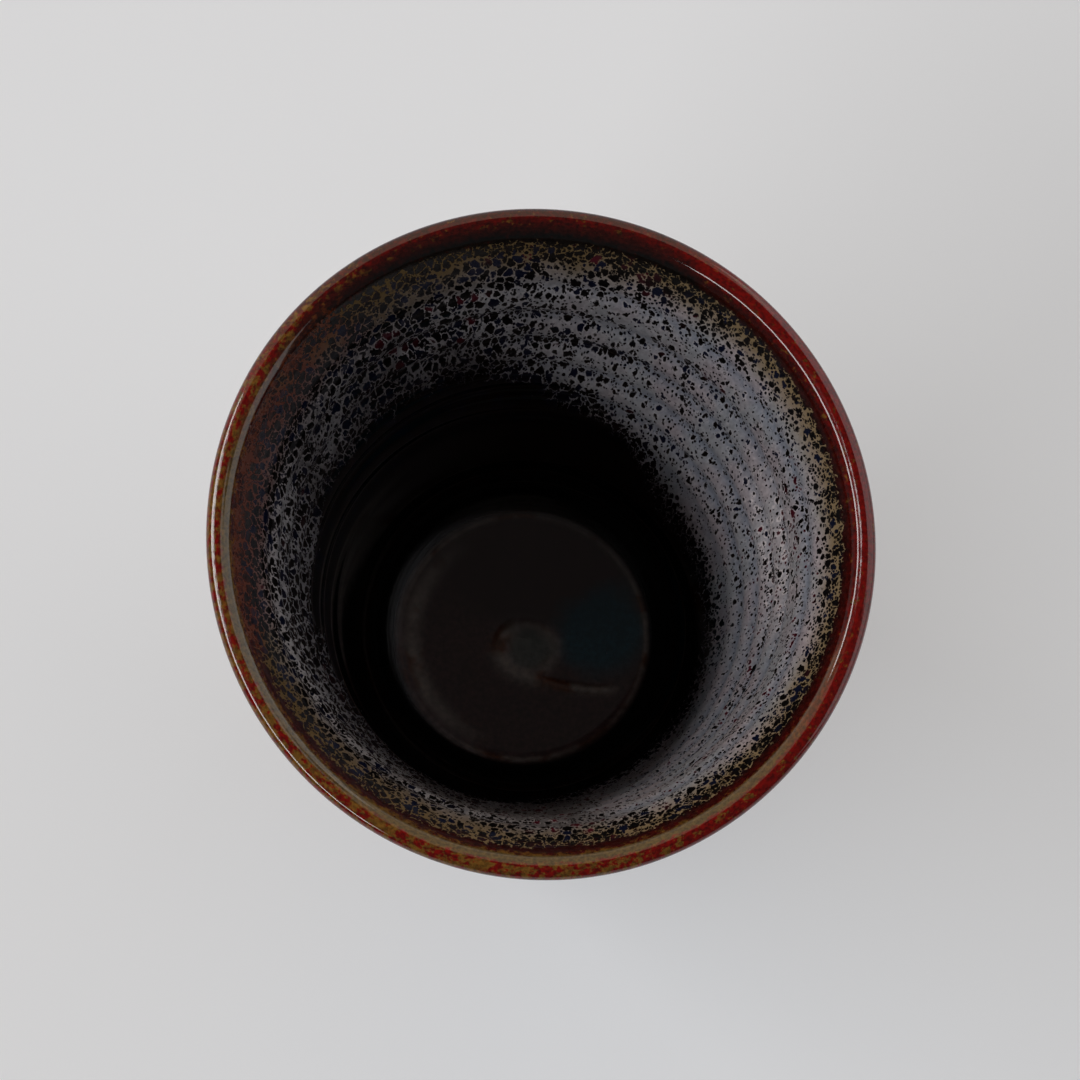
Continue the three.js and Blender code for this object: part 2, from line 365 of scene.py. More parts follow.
def coat(size, cup, along, theta):
    """Thickness of the glaze: thinner over the lip, and rounded and rolled up at the lower edge outside.

    Two slight facets on the lip's shoulders are left from smoothing it with a leather.
    """
    from_crest = along - cup.crest
    lip_reach = 1.2 * MM
    over_lip = np.exp(-(from_crest / lip_reach) ** 2)
    shoulder = np.where(from_crest > 0, 0.56 * MM, 0.44 * MM)
    facets = 0.28 / MM * from_crest ** 2 * np.exp(1 - (from_crest / shoulder) ** 2)
    from_edge = along - glaze_edge(cup, theta)
    rounding = np.sqrt(np.clip(from_edge / (0.9 * MM), 0.01, 1))
    roll = size.glaze_roll * np.exp(-((from_edge - 1.3 * MM) / (1.1 * MM)) ** 2)
    plain = size.glaze - (size.glaze - size.lip_glaze) * over_lip - facets
    return np.where(along < cup.crest, rounding * (plain + roll), plain)


def glaze_flow(run):
    """Distance from the lip in steps that lengthen down the wall, because the glaze ran further there.

    The step's length goes from about one at the lip to FLOW_STRETCH deep down, as an exponential.
    """
    away = np.abs(run)
    near = (1 - 1 / FLOW_STRETCH) * FLOW_FADE * (1 - np.exp(-away / FLOW_FADE))
    return np.sign(run) * (away / FLOW_STRETCH + near)


def spiral(size, r, theta):
    """Ridge in the well, 0 to 1: a loop near the centre, and a tail that leaves it for the well's edge.

    The loop is slightly wider than it is deep. The tail's radius grows as a high power of the angle turned.
    """
    loop = 3.3 * MM
    width = 1.1 * MM
    sweep = 250
    lateness = 10
    widening = 1.15
    x = (r * np.cos(theta) - EYE[0]) / widening
    y = r * np.sin(theta) - EYE[1]
    out = np.hypot(x, y)
    turn = np.mod(np.degrees(np.arctan2(y, x)) - 90, 360)
    flat = size.well / 2 - size.well_edge
    tail = (flat - loop) * (turn / sweep) ** lateness
    leaving = smooth(turn, 0, 30) * np.exp(-((out - loop - tail) / width) ** 2)
    closed = 0.7 * np.exp(-((out - loop) / (0.7 * width)) ** 2)
    edge = 1 - smooth(r, flat - 2 * width, flat)
    return edge * np.maximum(leaving, closed)


def floor_ridges_and_reflection(size, cup, along, theta):
    """Where the floor's glaze is thin, 0 to 1: on the spiral and round the well's edge, which is partly a
    painted highlight, and in a painted reflection on the left.
    """
    r = np.interp(along, cup.along, cup.r)
    well = size.well / 2
    # Partly painted highlight: the pale ring round the well's edge, brighter at some angles
    uneven = 0.7 + 0.3 * np.sin(3 * theta + 1)
    ring = np.exp(-((r - well + 0.3 * MM) / (0.4 * MM)) ** 2) * uneven
    # Painted reflection: a pale arc on the left of the well, where the lit wall shows in the floor
    side = smooth(np.cos(theta - radians(REFLECTED_CRESCENT)), 0.3, 1)
    painted_reflection = np.exp(-((r - well + 2.2 * MM) / (1.1 * MM)) ** 2) * side
    ridges = np.maximum(np.maximum(spiral(size, r, theta), painted_reflection), ring)
    return np.where(along > cup.fillet, ridges, 0)


def skin(size, cup, along, theta, glazed):
    """Places on the cup's skin at a distance along the profile and an angle: on the clay or its glaze."""
    columns = (cup.r, cup.z, cup.out_r, cup.out_z)
    r, z, out_r, out_z = (np.interp(along, cup.along, values) for values in columns)
    grooves = size.ring_depth * throwing_rings(size, cup, along, theta)
    lines = LINE_DEPTH * turning_lines(cup, along, theta)
    lift = -grooves - lines
    if glazed:
        lift = lift + coat(size, cup, along, theta)
        z = z + np.where(along > cup.fillet, SPIRAL_HEIGHT * spiral(size, r, theta), 0)
    return hand_thrown(size, np.maximum(r + lift * out_r, 0), z + lift * out_z, theta)


# Meshes

def revolved_mesh(name, grid, ring, **layers):
    """A closed mesh from rows of points round the cup. A ring joins its last row to its first.

    Otherwise the first and the last row are poles on the axis, each kept as one vertex. Layers are numbers
    kept at the vertices for the materials.
    """
    rows, segments = grid.shape[:2]
    if ring:
        body, poles = grid, np.empty((0, 3))
    else:
        body, poles = grid[1:-1], grid[[0, -1]].mean(axis=1)
    index = np.arange(body.shape[0] * segments).reshape(body.shape[0], segments)
    below = np.roll(index, -1, axis=0) if ring else index[1:]
    above = index if ring else index[:-1]
    quads = np.stack([above, np.roll(above, -1, 1), np.roll(below, -1, 1), below], axis=-1).reshape(-1, 4)
    corners, sizes = [quads.ravel()], [np.full(len(quads), 4)]
    if not ring:
        first, last = index.size, index.size + 1
        start = np.stack([np.full(segments, first), np.roll(index[0], -1), index[0]], axis=-1)
        end = np.stack([np.full(segments, last), index[-1], np.roll(index[-1], -1)], axis=-1)
        corners += [start.ravel(), end.ravel()]
        sizes.append(np.full(2 * segments, 3))
    corners, sizes = np.concatenate(corners), np.concatenate(sizes)
    places = np.concatenate([body.reshape(-1, 3), poles])
    mesh = bpy.data.meshes.new(name)
    mesh.vertices.add(len(places))
    mesh.vertices.foreach_set("co", places.ravel())
    mesh.loops.add(len(corners))
    mesh.loops.foreach_set("vertex_index", corners)
    mesh.polygons.add(len(sizes))
    mesh.polygons.foreach_set("loop_start", np.append(0, np.cumsum(sizes)[:-1]))
    mesh.update(calc_edges=True)
    mesh.shade_smooth()
    mesh.set_sharp_from_angle(angle=SHARP_FROM)
    for layer, values in layers.items():
        values = np.broadcast_to(values, (rows, segments))
        kept = values.ravel() if ring else np.append(values[1:-1].ravel(), values[[0, -1], 0])
        mesh.attributes.new(layer, "FLOAT", "POINT").data.foreach_set("value", kept.astype(np.float32))
    return mesh


def add_piece(name, mesh, material, node, slot):
    """Puts a finished mesh in the scene, in place of its CAD node."""
    piece = bpy.data.objects.new(name, mesh)
    bpy.context.collection.objects.link(piece)
    piece.data.materials.append(material)
    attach(piece, "root")
    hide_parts(node)


def angles():
    """Angles round the cup, as one row."""
    return np.linspace(0, 2 * pi, SEGMENTS, endpoint=False)[None, :]


def steps(start, stop, step):
    """Even distances from start to stop, as one column."""
    return np.linspace(start, stop, int(abs(stop - start) / step) + 2)[:, None]


# Materials

def add(tree, kind, inputs=(), stops=(), **settings):
    """Adds a node with its settings, fills its inputs with values or links, and returns it.

    Inputs come by name, or in the order of the sockets in use. A node given as an input is linked by its
    first output in use. A colour is given as red, green and blue, and made opaque. Stops are the places and
    colours of a colour ramp.
    """
    node = tree.nodes.new("ShaderNode" + kind)
    for setting, value in settings.items():
        setattr(node, setting, value)
    if isinstance(inputs, dict):
        sockets = {socket.identifier: socket for socket in node.inputs}
        pairs = [(sockets[name], value) for name, value in inputs.items()]
    else:
        pairs = zip([socket for socket in node.inputs if socket.enabled], inputs)
    for socket, value in pairs:
        if isinstance(value, bpy.types.Node):
            value = next(output for output in value.outputs if output.enabled)
        if isinstance(value, bpy.types.NodeSocket):
            tree.links.new(value, socket)
        else:
            socket.default_value = (*value, 1) if socket.type == "RGBA" else value
    for _ in stops[2:]:
        node.color_ramp.elements.new(1)
    if stops:
        for element, (position, shade) in zip(node.color_ramp.elements, stops):
            element.position = position
            element.color = (*shade, 1)
    return node


def new_material(name):
    """An empty node material and its node tree."""
    material = bpy.data.materials.new(name)
    material.use_nodes = True
    material.node_tree.nodes.clear()
    return material, material.node_tree


def finish_material(tree, shader_inputs):
    """Ends a material in one Principled shader."""
    shader = add(tree, "BsdfPrincipled", shader_inputs)
    add(tree, "OutputMaterial", {"Surface": shader})


def glaze_places(tree):
    """Where a point of the glaze is, in millimetres: in cells that ran down the wall, and from the lip.

    Depth counts from the lip down both sides, at half pace outside. Bands follow the throwing rings. Jitter
    is fine noise, and ragged is the depth with that noise added. Place and radius are in metres. A noise's
    scale is one over the size of its patches, in millimetres here.
    """
    place = add(tree, "TexCoord").outputs["Object"]
    run, flow, groove = (
        add(tree, "Attribute", attribute_name=name).outputs["Fac"] for name in ("run", "flow", "groove"))
    level = add(tree, "VectorMath", (place, (1, 1, 0)), operation="MULTIPLY")
    radius = add(tree, "VectorMath", (level,), operation="LENGTH")
    bearing = add(tree, "VectorMath", (level,), operation="NORMALIZE")
    upright = add(tree, "CombineXYZ", {"Z": flow})
    cells = add(tree, "VectorMath", (level, (1 / MM,) * 3, upright), operation="MULTIPLY_ADD")
    inside = add(tree, "Math", (run, 0.0), operation="GREATER_THAN")
    pace = add(tree, "MapRange", {"Value": inside, "To Min": 0.5, "To Max": 1.0})
    away = add(tree, "Math", (run,), operation="ABSOLUTE")
    depth = add(tree, "Math", (away, pace), operation="MULTIPLY")
    region = add(tree, "TexNoise", {"Vector": cells, "Scale": 1 / 9, "Detail": 2.0})
    down = add(tree, "CombineXYZ", {"Z": run})
    ring = add(tree, "VectorMath", (bearing, (7, 7, 0), down), operation="MULTIPLY_ADD")
    band = add(tree, "TexNoise", {"Vector": ring, "Scale": 1 / 6, "Detail": 2.0})
    jitter = add(tree, "TexNoise", {"Vector": cells, "Scale": 1 / 0.8, "Detail": 3.0})
    ragged = add(tree, "Math", (jitter, 2.0, depth), operation="MULTIPLY_ADD")
    return SimpleNamespace(
        place=place, radius=radius, bearing=bearing, cells=cells, run=run, groove=groove, depth=depth,
        region=region, band=band, jitter=jitter, ragged=ragged)


def mottled(tree, paint, noise, spread, dark, light):
    """A colour made darker and lighter by a noise. Spread is how far the noise strays from its middle."""
    level = add(tree, "MapRange", {"Value": noise, "From Min": 0.5 - spread, "From Max": 0.5 + spread,
                                   "To Min": dark, "To Max": light})
    return add(tree, "VectorMath", (paint, level), operation="SCALE")


def facing(tree, where, degrees, low, high):
    """0 to 1 round the cup, 1 where it lies towards an angle, with an edge that wanders.

    Low and high are cosines of the angle away from it.
    """
    wander = 0.8
    towards = (cos(radians(degrees)), sin(radians(degrees)), 0)
    side = add(tree, "VectorMath", (where.bearing, towards), operation="DOT_PRODUCT")
    moved = add(tree, "Math", (where.region, wander, side), operation="MULTIPLY_ADD")
    shift = wander / 2
    return add(tree, "MapRange", {"Value": moved, "From Min": low + shift, "From Max": high + shift},
               interpolation_type="SMOOTHSTEP")


def ash_cells(tree, where, width, cover):
    """Dark cells in the ash: 1 between them and 0 inside, a random number for each, and a halo round them.

    A cell is a Voronoi cell's middle, out to a cover that is given in cell widths and varies between cells.
    Thin walls of ash stay between cells until the cover closes over them. Two noises warp the cells.
    """
    warped = where.cells
    for grain, detail, strength in ((0.4, 3.0, 0.5), (2.5, 1.0, 1.2)):
        noise = add(tree, "TexNoise", {"Vector": where.cells, "Scale": 1 / (grain * width),
                                       "Detail": detail}).outputs["Color"]
        warped = add(tree, "VectorMath", (noise, (strength * width,) * 3, warped),
                     operation="MULTIPLY_ADD")
    cell = add(tree, "TexVoronoi", {"Vector": warped, "Scale": 1 / width})
    edge = add(tree, "TexVoronoi", {"Vector": warped, "Scale": 1 / width}, feature="DISTANCE_TO_EDGE")
    chance = add(tree, "SeparateColor", {"Color": cell.outputs["Color"]})
    share = add(tree, "MapRange", {"Value": chance.outputs["Red"], "To Min": 0.7, "To Max": 1.3})
    reach = add(tree, "Math", (cover, share), operation="MULTIPLY")
    beyond = add(tree, "Math", (cell, reach), operation="SUBTRACT")
    open_ash = add(tree, "MapRange", {"Value": beyond, "From Min": -0.05, "From Max": 0.06},
                   interpolation_type="SMOOTHSTEP")
    kept = add(tree, "MapRange", {"Value": cover, "From Min": 0.95, "From Max": 0.7})
    wall = add(tree, "MapRange", {"Value": edge, "From Min": 0.1, "From Max": 0.03, "To Max": kept})
    between = add(tree, "Math", (open_ash, wall), operation="MAXIMUM")
    halo = add(tree, "MapRange", {"Value": beyond, "From Min": 0.24, "From Max": 0.06})
    return SimpleNamespace(between=between, chance=chance.outputs["Green"], halo=halo)


def cell_cover(tree, where, ash, worn, rich, poor):
    """How much of each cell is dark: little where the ash is rich, all of it on the lip and deep in the cup.

    It is a sum: a level for the ash's richness, more near the lip's edge, more deep down inside and outside,
    there sooner on the far wall as partly painted shade, a little for wandering patches and bands, a little
    in the grooves as painted shade, and all of it over the lip.
    """
    plain = add(tree, "MapRange", {"Value": ash, "To Min": poor, "To Max": rich})
    dense = add(tree, "MapRange", {"Value": ash, "To Min": 0.06, "To Max": 0.4})
    amount = add(tree, "MapRange", {"Value": worn, "To Min": dense, "To Max": 0.12})
    edge = add(tree, "MapRange", {"Value": where.depth, "From Min": 2.2, "From Max": 10.5,
                                  "To Min": amount, "To Max": 0.0})
    early = add(tree, "MapRange", {"Value": ash, "To Min": 9.0, "To Max": 0.0})
    # Partly painted shade: the black begins sooner on the far wall, where less light reaches
    far = facing(tree, where, EARLY_BLACK_SHADE, low=0.0, high=1.0)
    earlier = add(tree, "Math", (far, 16.0, early), operation="MULTIPLY_ADD")
    sooner = add(tree, "Math", (where.run, earlier))
    inner = add(tree, "MapRange", {"Value": sooner, "From Min": 60.0, "From Max": 75.0, "To Max": 0.9})
    outer = add(tree, "MapRange", {"Value": where.run, "From Min": -30.0, "From Max": -58.0,
                                   "To Max": 0.7})
    varied = [
        add(tree, "MapRange", {"Value": noise, "From Min": 0.3, "From Max": 0.7, "To Min": -most,
                               "To Max": most})
        for noise, most in ((where.region, 0.05), (where.band, 0.09))]
    # Painted shade: more dark cover in the grooves, so they read darker
    pooled = add(tree, "Math", (where.groove, 0.06), operation="MULTIPLY")
    lower = add(tree, "Math", (worn, where.ragged))
    lip = add(tree, "MapRange", {"Value": lower, "From Min": 3.1, "From Max": 4.3, "To Min": 1.6,
                                 "To Max": 0.0}, interpolation_type="SMOOTHSTEP")
    total = plain
    for part in (edge, inner, outer, *varied, pooled, lip):
        total = add(tree, "Math", (total, part))
    return total


def olive_reflection_band(tree, where):
    """0 to 1 on the lip: 1 in a ragged band along its inner shoulder, on the near and left side, which is
    partly thinned glaze and partly a painted reflection of a lamp panel.
    """
    middle = 1.6
    strayed = add(tree, "Math", (where.jitter, 1.2, where.run), operation="MULTIPLY_ADD")
    apart = add(tree, "Math", (strayed, middle), operation="SUBTRACT")
    off = add(tree, "Math", (apart,), operation="ABSOLUTE")
    # Partly painted reflection: the band lies where a lamp panel shows in the lip
    near = facing(tree, where, OLIVE_REFLECTION_LIP, low=-0.3, high=0.4)
    return add(tree, "MapRange", {"Value": off, "From Min": 0.75, "From Max": 0.4, "To Max": near})


def lip_colour(tree, tint, where, thin, worn):
    """Iron glaze on the lip: red on top and darker below, with orange to rust blotches where ash reached it.

    Along the inner shoulder it is olive, partly thinned glaze and partly a painted reflection. The colour
    ramp's places are centimetres of ragged depth.
    """
    thick = facing(tree, where, THICK_LIP, low=0.4, high=1.0)
    shifted = add(tree, "Math", (thick, 1.4, where.ragged), operation="MULTIPLY_ADD")
    share = add(tree, "Math", (shifted, 10.0), operation="DIVIDE")
    iron = add(tree, "ValToRGB", {"Fac": share}, stops=(
        (0.0, tint.red), (0.17, tint.red), (0.27, tint.dark_red), (0.36, tint.maroon), (0.46, tint.black)))
    lower = add(tree, "Mix", (worn, tint.maroon, tint.rust), data_type="RGBA")
    down = add(tree, "MapRange", {"Value": shifted, "From Min": 2.4, "From Max": 3.4})
    ashy = add(tree, "Mix", (down, tint.orange, lower), data_type="RGBA")
    blotch = add(tree, "TexNoise", {"Vector": where.cells, "Scale": 1 / 1.1, "Detail": 4.0,
                                    "Roughness": 0.65})
    bias = add(tree, "Math", (thin, 0.15, blotch), operation="MULTIPLY_ADD")
    mask = add(tree, "MapRange", {"Value": bias, "From Min": 0.58, "From Max": 0.7},
               interpolation_type="SMOOTHSTEP")
    blotched = add(tree, "Mix", (mask, iron, ashy), data_type="RGBA")
    banded = add(tree, "Mix", (olive_reflection_band(tree, where), blotched, tint.olive), data_type="RGBA")
    fine = add(tree, "TexNoise", {"Vector": where.cells, "Scale": 1 / 0.5, "Detail": 3.0,
                                  "Roughness": 0.6})
    return mottled(tree, banded, fine, spread=0.15, dark=0.5, light=1.35)


def floor_colour(tree, tint, where):
    """Iron glaze pooled on the floor: mottled brown, with painted shade darkening the back, and broken over
    the ridges, where pale painted reflections also lie.

    A blue-green pool lies beside the centre, and a paler one in the loop of the spiral. A pool fades out
    from half its reach, with an edge that wanders.
    """
    wander = 4 * MM
    cloud = add(tree, "TexNoise", {"Vector": where.cells, "Scale": 1 / 5, "Detail": 2.0})
    pooled = tint.brown
    for centre, reach, paint, most in ((POOL, 8 * MM, tint.pool, 1.0), (EYE, 4.2 * MM, tint.eye, 0.7)):
        apart = add(tree, "VectorMath", (where.place, centre), operation="DISTANCE")
        moved = add(tree, "Math", (cloud, wander, apart), operation="MULTIPLY_ADD")
        share = add(tree, "MapRange", {"Value": moved, "From Min": reach + wander / 2,
                                       "From Max": (reach + wander) / 2, "To Max": most},
                    interpolation_type="SMOOTHSTEP")
        pooled = add(tree, "Mix", (share, pooled, paint), data_type="RGBA")
    warm = add(tree, "MapRange", {"Value": cloud, "From Min": 0.5, "From Max": 0.62})
    broken = add(tree, "Mix", (warm, tint.thin_brown_and_reflection, tint.flash), data_type="RGBA")
    # Ridge holds the thin glaze on the spiral and the well's edge, and the painted reflections round the
    # well
    ridge = add(tree, "Attribute", attribute_name="ridge").outputs["Fac"]
    patchy = add(tree, "MapRange", {"Value": cloud, "From Min": 0.3, "From Max": 0.45, "To Min": 0.6})
    bare = add(tree, "Math", (ridge, patchy), operation="MULTIPLY")
    ridged = add(tree, "Mix", (bare, pooled, broken), data_type="RGBA")
    mottle = add(tree, "MapRange", {"Value": where.jitter, "From Min": 0.35, "From Max": 0.65,
                                    "To Min": 0.82, "To Max": 1.18})
    # Painted shade: the floor is made darker towards the back of the cup
    behind = facing(tree, where, SHADED_FLOOR, low=-0.2, high=0.7)
    level = add(tree, "MapRange", {"Value": behind, "To Min": mottle, "To Max": 0.6})
    return add(tree, "VectorMath", (ridged, level), operation="SCALE")


def spot_colour(tree, tint, where, chance):
    """Iron glaze in the spots: black, with a few cool cells, and a few crimson ones on the near right."""
    mixed = add(tree, "Math", (where.band, 0.6, chance), operation="MULTIPLY_ADD")
    warm = facing(tree, where, RED_SPOTS, low=0.2, high=0.9)
    deeper = add(tree, "MapRange", {"Value": where.depth, "From Min": 6.0, "From Max": 10.0,
                                    "To Max": warm})
    redder = add(tree, "MapRange", {"Value": deeper, "To Min": -0.4, "To Max": -0.14})
    kind = add(tree, "Math", (mixed, redder))
    spot = add(tree, "ValToRGB", {"Fac": kind}, stops=(
        (0.0, tint.navy), (0.14, tint.navy), (0.2, tint.black), (0.9, tint.black), (1.0, tint.crimson)))
    deep = add(tree, "MapRange", {"Value": where.run, "From Min": 52.0, "From Max": 62.0})
    return add(tree, "Mix", (deep, spot, tint.black), data_type="RGBA")


def iron_colour(tree, size, tint, where, chance, thin, worn):
    """Iron glaze: the lip's colours, then those of the spots down the wall, and those of the floor."""
    lip = lip_colour(tree, tint, where, thin, worn)
    wall = spot_colour(tree, tint, where, chance)
    floor = floor_colour(tree, tint, where)
    below = add(tree, "MapRange", {"Value": where.depth, "From Min": 3.0, "From Max": 5.0})
    upper = add(tree, "Mix", (below, lip, wall), data_type="RGBA")
    well = size.well / 2
    on_floor = add(tree, "MapRange", {"Value": where.radius, "From Min": well + 0.4 * MM,
                                      "From Max": well - 0.6 * MM})
    return add(tree, "Mix", (on_floor, upper, floor), data_type="RGBA")


def grey_ash(tree, tint, where, ash, halo, cloud):
    """Ash glaze down the wall: grey to lilac, darker where it is thin, and with painted shade in two
    directions.

    In the grooves it is bluer, partly the ash pooled there and partly painted shade. Pale crystals lie close
    round the cells, and thickest in one bloomed area on the right, where they are also a painted sheen.
    """
    warmth = add(tree, "MapRange", {"Value": cloud, "From Min": 0.4, "From Max": 0.6})
    grey = add(tree, "Mix", (warmth, tint.grey, tint.lilac), data_type="RGBA")
    # Partly painted shade: the grooves turn a darker blue grey
    pooled = add(tree, "Math", (where.groove, 0.8), operation="MULTIPLY")
    cool = add(tree, "Mix", (pooled, grey, tint.blue), data_type="RGBA")
    thick = add(tree, "Mix", (ash, tint.shade, cool), data_type="RGBA")
    # Painted shade: the walls in these two directions turn darker grey, standing in for the weaker light
    # there
    for angle in SHADED_ASH:
        share = facing(tree, where, angle, low=0.75, high=1.0)
        thick = add(tree, "Mix", (share, thick, tint.shaded_grey), data_type="RGBA")
    # Painted sheen in part: round this point the crystals are made paler, standing in for the key light
    # glinting off them
    apart = add(tree, "VectorMath", (where.place, SHEEN_BLOOM), operation="DISTANCE")
    patch = add(tree, "MapRange", {"Value": apart, "From Min": 15 * MM, "From Max": 5 * MM},
                interpolation_type="SMOOTHSTEP")
    strength = add(tree, "MapRange", {"Value": patch, "To Min": 0.25, "To Max": 0.9})
    even = add(tree, "Math", (patch, 0.4), operation="MULTIPLY")
    ringed = add(tree, "Math", (halo, strength, even), operation="MULTIPLY_ADD")
    pale = add(tree, "Mix", (ringed, thick, tint.crystal_sheen), data_type="RGBA")
    fine = add(tree, "TexNoise", {"Vector": where.cells, "Scale": 1 / 0.45, "Detail": 3.0})
    return mottled(tree, pale, fine, spread=0.2, dark=0.75, light=1.2)


def ash_colour(tree, tint, where, ash, worn, halo):
    """Ash glaze: ochre, olive or rust at its edge below the lip, and grey down the wall."""
    cloud = add(tree, "TexNoise", {"Vector": where.cells, "Scale": 1 / 5, "Detail": 2.0})
    scant = add(tree, "Mix", (worn, tint.olive, tint.rust), data_type="RGBA")
    rim = add(tree, "Mix", (ash, scant, tint.ochre), data_type="RGBA")
    moved = add(tree, "Math", (cloud, 4.0, where.depth), operation="MULTIPLY_ADD")
    reach = add(tree, "MapRange", {"Value": ash, "To Min": 17.0, "To Max": 11.5})
    below = add(tree, "MapRange", {"Value": moved, "From Min": 6.0, "From Max": reach},
                interpolation_type="SMOOTHSTEP")
    wall = grey_ash(tree, tint, where, ash, halo, cloud)
    return add(tree, "Mix", (below, rim, wall), data_type="RGBA")


def iron_and_ash_glaze(size, tint):
    """Stoneware glaze fired to a gloss: iron glaze, red where thin and black where thick, under a grey ash.

    The ash parted into cells as it melted, so dark iron shows through it as spots that ran down the wall.
    The iron is a smooth glass, and the ash between the spots is slightly duller with fine crystals.
    """
    material, tree = new_material("iron_and_ash_glaze")
    where = glaze_places(tree)
    ash = facing(tree, where, RICH_ASH, low=-0.9, high=0.75)
    thin = facing(tree, where, ASHY_LIP, low=-0.5, high=0.8)
    worn = facing(tree, where, WORN_LIP, low=0.72, high=0.95)
    large = ash_cells(tree, where, LARGE_CELL, cell_cover(tree, where, ash, worn, rich=0.22, poor=0.58))
    small = ash_cells(tree, where, SMALL_CELL, cell_cover(tree, where, ash, worn, rich=0.28, poor=0.38))
    between = add(tree, "Math", (large.between, small.between), operation="MULTIPLY")
    iron = iron_colour(tree, size, tint, where, large.chance, thin, worn)
    pale = ash_colour(tree, tint, where, ash, worn, large.halo)
    base = add(tree, "Mix", (between, iron, pale), data_type="RGBA")
    rough = add(tree, "MapRange", {"Value": between, "To Min": 0.08, "To Max": 0.3})
    peel = add(tree, "TexNoise", {"Vector": where.cells, "Scale": 1 / 1.6, "Detail": 2.0})
    height = add(tree, "Math", (between, 0.35, peel), operation="MULTIPLY_ADD")
    bump = add(tree, "Bump", {"Strength": 0.4, "Distance": 0.03 * MM, "Height": height})
    finish_material(tree, {"Base Color": base, "Roughness": rough, "IOR": 1.5, "Normal": bump})
    return material


def bare_stoneware(tint):
    """Unglazed stoneware, turned and fired: matt, grainy brown clay with iron specks.

    It is warmer beside the glaze line, where the flame coloured it.
    """
    material, tree = new_material("bare_stoneware")
    place = add(tree, "TexCoord").outputs["Object"]
    cloud = add(tree, "TexNoise", {"Vector": place, "Scale": 1 / (8 * MM), "Detail": 4.0})
    height = add(tree, "SeparateXYZ", {"Vector": place}).outputs["Z"]
    near = add(tree, "MapRange", {"Value": height, "From Min": 6 * MM, "From Max": 14 * MM})
    warm = add(tree, "Math", (cloud, near), operation="MULTIPLY")
    warmth = add(tree, "MapRange", {"Value": warm, "From Min": 0.1, "From Max": 0.5})
    body = add(tree, "Mix", (warmth, tint.clay, tint.flash), data_type="RGBA")
    grain = add(tree, "TexNoise", {"Vector": place, "Scale": 1 / (0.35 * MM), "Detail": 3.0})
    grainy = mottled(tree, body, grain, spread=0.2, dark=0.75, light=1.2)
    cell = add(tree, "TexVoronoi", {"Vector": place, "Scale": 1 / (1.6 * MM)})
    speck = add(tree, "MapRange", {"Value": cell, "From Min": 0.2, "From Max": 0.12})
    base = add(tree, "Mix", (speck, grainy, tint.speck), data_type="RGBA")
    rough = add(tree, "MapRange", {"Value": grain, "To Min": 0.7, "To Max": 0.9})
    bump = add(tree, "Bump", {"Strength": 0.6, "Distance": 0.1 * MM, "Height": grain})
    finish_material(tree, {"Base Color": base, "Roughness": rough, "IOR": 1.5, "Normal": bump})
    return material


def studio_paper(tint):
    """Matt background paper: even and pale, with a faint cloudiness, and with its shadows lightened.

    A share of even glow is mixed in for camera, glossy and transmission rays only.
    """
    glow_share = 0.28
    material, tree = new_material("studio_paper")
    place = add(tree, "TexCoord").outputs["Object"]
    cloud = add(tree, "TexNoise", {"Vector": place, "Scale": 1 / (60 * MM), "Detail": 3.0})
    base = mottled(tree, tint.floor, cloud, spread=0.5, dark=0.98, light=1.02)
    paper = add(tree, "BsdfPrincipled", {"Base Color": base, "Roughness": 0.9, "Specular IOR Level": 0.2})
    rays = add(tree, "LightPath")
    seen = rays.outputs["Is Camera Ray"]
    for ray in ("Is Glossy Ray", "Is Transmission Ray"):
        seen = add(tree, "Math", (seen, rays.outputs[ray]), operation="MAXIMUM")
    share = add(tree, "Math", (seen, glow_share), operation="MULTIPLY")
    glow = add(tree, "Emission", {"Color": tint.backdrop})
    mixed = add(tree, "MixShader", (share, paper, glow))
    add(tree, "OutputMaterial", {"Surface": mixed})
    return material


# Operators

class ClayBody(bpy.types.Operator):
    """Throw the clay cup: domed underside, hip, wall, flared lip, ringed inside and well"""
    bl_idname = "cup.clay_body"
    bl_label = "Clay body"

    def execute(self, context):
        size, tint = context.scene.cup_sizes, context.scene.cup_colours
        cup = thrown_profile(size)
        theta = angles()
        recess = size.foot / 2 - size.foot_wall
        r = steps(0, size.hip / 2, UNDERSIDE_STEP)[:-1]
        dome = size.recess_rise * np.clip(1 - (r / recess) ** 2, 0, 1)
        marks = LINE_DEPTH * np.cos(2 * pi * r / (1.7 * MM)) * (r < recess)
        under = hand_thrown(size, r, size.foot_height + dome + marks, theta)
        along = steps(0, cup.centre, CLAY_STEP)
        wall = skin(size, cup, along, theta, glazed=False)
        mesh = revolved_mesh("clay_cup", np.concatenate([under, wall]), ring=False)
        add_piece("clay_cup", mesh, bare_stoneware(tint), "clay_body", "bare_stoneware")
        return {"FINISHED"}


